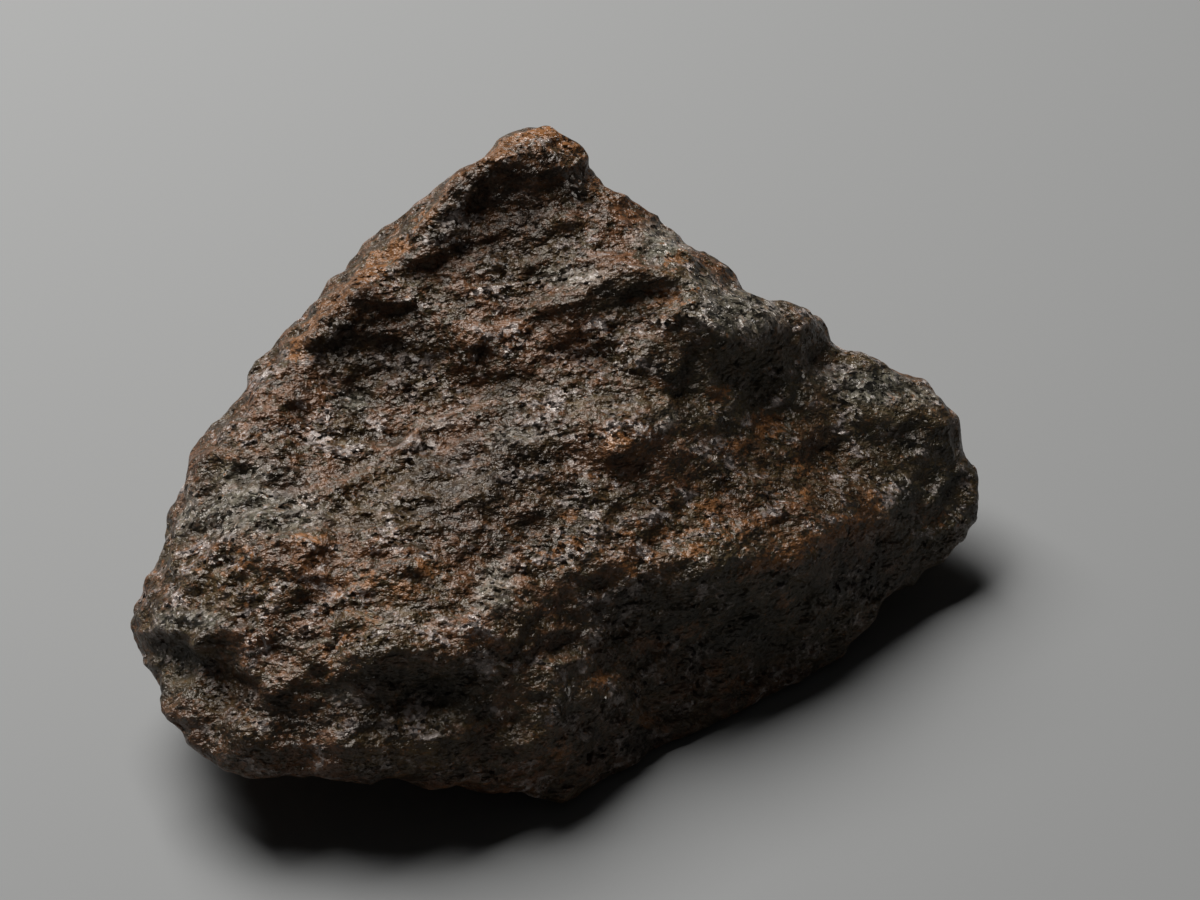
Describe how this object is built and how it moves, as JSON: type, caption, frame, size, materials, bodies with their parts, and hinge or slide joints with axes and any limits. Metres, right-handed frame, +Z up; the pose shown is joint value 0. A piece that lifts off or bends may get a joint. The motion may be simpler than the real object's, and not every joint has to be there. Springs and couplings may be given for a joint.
{
  "type": "chondrite meteorite",
  "caption": "Weathered stony meteorite: a wedge-shaped dark brown stone with a broad craggy face and a peaked top, resting on a small flat spot.",
  "frame": {"origin": "on the surface the stone rests on, under the middle of its bounding box", "axes": "+X along the stone's length, towards its low right tip; +Y towards the back, which the broad face leans away to; +Z up"},
  "size_m": [0.0536, 0.0382, 0.0266],
  "materials": {
    "stone": "weathered fusion crust, dark brown with rust, dull satin"
  },
  "bodies": {
    "root": {"stone": "stone"}
  },
  "joints": []
}
